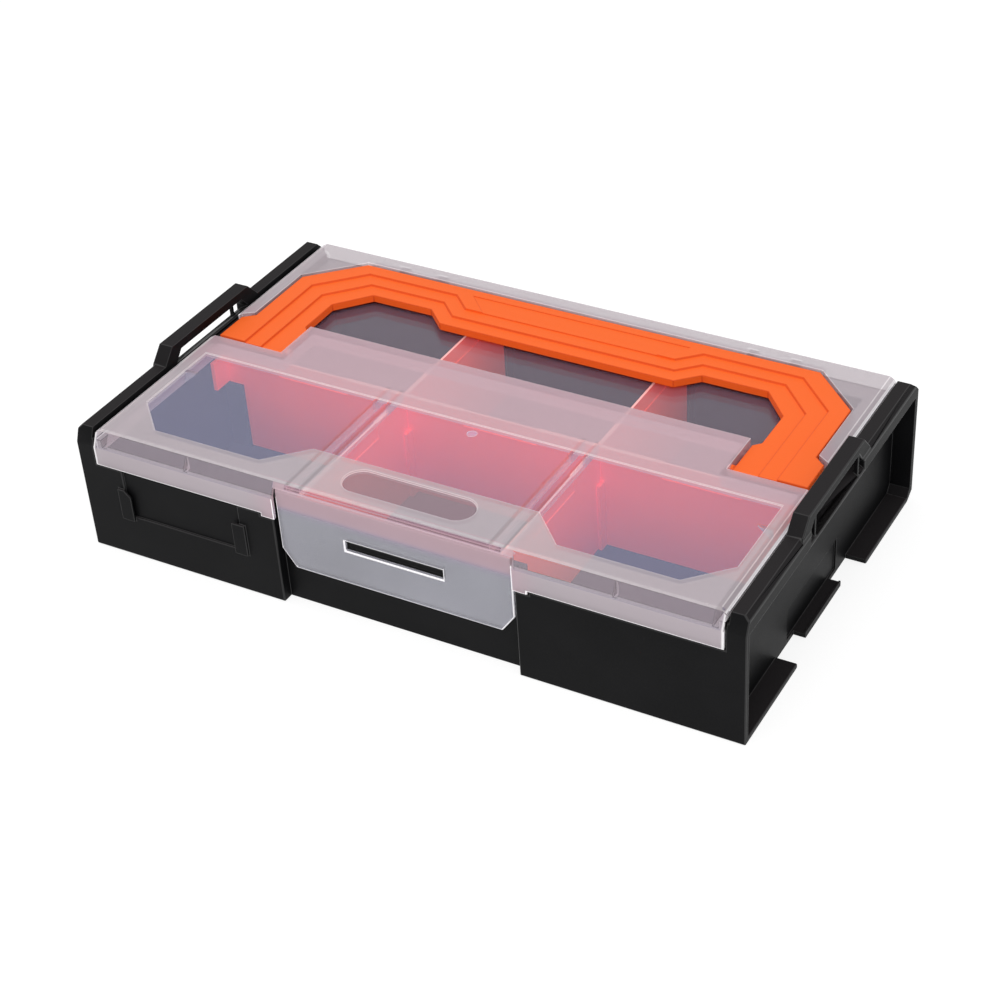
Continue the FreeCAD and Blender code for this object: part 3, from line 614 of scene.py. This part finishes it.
def eased(node, body, materials, share, width, segments, rework=None):
    """A copy of a CAD piece with its edges eased, as a moulding has them, which stands for the piece."""
    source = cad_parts[node]
    piece = source.copy()
    piece.data = source.data.copy()
    piece.parent = None
    piece.matrix_world = Matrix.Identity(4)
    piece.name = node + "_moulding"
    for key in list(piece.keys()):
        del piece[key]
    bpy.context.scene.collection.objects.link(piece)
    piece.data.materials.clear()
    for material in materials:
        piece.data.materials.append(material)
    merge_flat(piece)
    if rework:
        rework(piece)
        merge_flat(piece)
    weigh_edges(piece, share)
    easing = piece.modifiers.new("easing", "BEVEL")
    easing.width = width
    easing.segments = segments
    easing.limit_method = "WEIGHT"
    easing.use_clamp_overlap = False
    # The eased faces take the second finish where one is given: painted edge highlight on the tray and lid,
    # painted shade on the handle.
    if len(materials) > 1:
        easing.material = 1
    bpy.ops.object.modifier_apply(modifier=easing.name)
    bpy.ops.object.shade_smooth_by_angle(angle=math.radians(50))
    flatness = piece.modifiers.new("flatness", "WEIGHTED_NORMAL")
    flatness.mode = "FACE_AREA"
    flatness.weight = 100
    flatness.keep_sharp = True
    bpy.ops.object.modifier_apply(modifier=flatness.name)
    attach(piece, body)
    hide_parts(node)


def gate_mark(materials):
    """The small round mark where the plastic was poured in: a low rim round a dish with a nub in it."""
    radius = 0.0019
    height = 0.0003
    rim = 0.0006
    dish = 0.0008
    dish_depth = 0.0002
    nub_height = 0.00015
    mark = cylinder(GATE, 40, radius, height)
    mark.name = "gate_mark"
    choose(mark, "FACE", lambda face: face.normal.z > 0.9)
    bpy.ops.mesh.inset(thickness=rim)
    bpy.ops.transform.translate(value=(0, 0, -dish_depth))
    bpy.ops.mesh.inset(thickness=dish)
    bpy.ops.transform.translate(value=(0, 0, nub_height))
    bpy.ops.object.mode_set(mode="OBJECT")
    for material in materials:
        mark.data.materials.append(material)
    soft = mark.modifiers.new("soft", "BEVEL")
    soft.width = 0.0001
    soft.segments = 2
    # The eased rim takes the painted edge glow.
    soft.material = 1
    bpy.ops.object.modifier_apply(modifier=soft.name)
    bpy.ops.object.shade_smooth_by_angle(angle=math.radians(40))
    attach(mark, "lid")


def studio():
    """A pale floor, a bright even surround and two soft lamps."""
    bpy.ops.object.select_all(action="DESELECT")
    bpy.ops.mesh.primitive_plane_add(size=6.0, location=(0, 0, -0.0002))
    floor = bpy.context.object
    floor.name = "floor"
    floor.data.materials.append(pale_floor())
    world = bpy.data.worlds.new("surround")
    bpy.context.scene.world = world
    world.use_nodes = True
    surround = world.node_tree.nodes["Background"]
    surround.inputs["Color"].default_value = WHITE
    surround.inputs["Strength"].default_value = 0.7
    for name, place, size, power in (
        ("key_lamp", (0.3, -0.6, 1.25), 0.9, 6.5),
        ("fill_lamp", (-0.9, -0.3, 0.9), 0.7, 1.2),
    ):
        lamp = bpy.data.lights.new(name, "AREA")
        lamp.size = size
        lamp.energy = power
        holder = bpy.data.objects.new(name, lamp)
        bpy.context.scene.collection.objects.link(holder)
        holder.location = place
        holder.rotation_euler = (-Vector(place)).to_track_quat("-Z", "Y").to_euler()


def photograph_camera():
    """A camera that stands where the photograph was taken."""
    back = Vector((
        math.sin(AZIMUTH) * math.cos(ELEVATION),
        -math.cos(AZIMUTH) * math.cos(ELEVATION),
        math.sin(ELEVATION),
    ))
    level = Vector((math.cos(AZIMUTH), math.sin(AZIMUTH), 0.0))
    upright = back.cross(level)
    right = level * math.cos(ROLL) + upright * math.sin(ROLL)
    up = upright * math.cos(ROLL) - level * math.sin(ROLL)
    data = bpy.data.cameras.new("camera")
    data.sensor_width = SENSOR
    data.sensor_fit = "HORIZONTAL"
    data.lens = LENS
    data.shift_x, data.shift_y = SHIFT
    data.clip_start = 0.01
    holder = bpy.data.objects.new("camera", data)
    bpy.context.scene.collection.objects.link(holder)
    turn = Matrix((right, up, back)).transposed().to_4x4()
    holder.matrix_world = Matrix.Translation(AIM + back * DISTANCE) @ turn
    bpy.context.scene.camera = holder


def dress():
    """Gives each piece its eased copy and its finish."""
    black = moulded_plastic(
        "black_tray",
        colour=(0.004, 0.004, 0.0045, 1),
        worn_colour=(0.006, 0.006, 0.0066, 1),
        painted_lit_top_colour=(0.0195, 0.0175, 0.0185, 1),
        roughness=0.48, grain=0.25, gloss=0.075,
    )
    # Painted highlight: the tray's eased edges take a paler, glossier black, as edges that catch the light.
    black_painted_edge_highlight = moulded_plastic(
        "black_painted_edge_highlight",
        colour=(0.008, 0.008, 0.0085, 1),
        worn_colour=(0.014, 0.014, 0.0146, 1),
        painted_lit_top_colour=(0.024, 0.022, 0.023, 1),
        roughness=0.4, grain=0.2, gloss=0.34,
    )
    orange = moulded_plastic(
        "orange_handle",
        colour=(0.96, 0.125, 0.009, 1),
        worn_colour=(0.98, 0.13, 0.01, 1),
        painted_lit_top_colour=(1.0, 0.145, 0.013, 1),
        roughness=0.5, grain=0.2, gloss=0.3,
    )
    # Painted shade: the eased edges of the handle's steps take a darker orange, as shaded lines.
    orange_painted_edge_shade = moulded_plastic(
        "orange_painted_edge_shade",
        colour=(0.78, 0.086, 0.006, 1),
        worn_colour=(0.82, 0.092, 0.006, 1),
        painted_lit_top_colour=(0.86, 0.1, 0.007, 1),
        roughness=0.5, grain=0.2, gloss=0.3,
    )
    divider = divider_plastic()
    clear = [frosted_lid(), painted_edge_glow()]
    eased("base_tray", "tray", [black, black_painted_edge_highlight], tray_share,
          width=0.0005, segments=3, rework=close_corners)
    eased("lid", "lid", clear, lid_share, width=0.0007, segments=3, rework=smooth_recess)
    eased("latch_flap", "latch", clear, flap_share, width=0.00045, segments=3)
    eased("carry_handle", "handle", [orange, orange_painted_edge_shade], handle_share,
          width=0.00033, segments=4)
    for node in DIVIDERS:
        eased(node, "tray", [divider], whole_share, width=0.00018, segments=2)
    gate_mark(clear)


bpy.context.scene.view_settings.view_transform = "Standard"
dress()
studio()
photograph_camera()
bpy.context.view_layer.update()
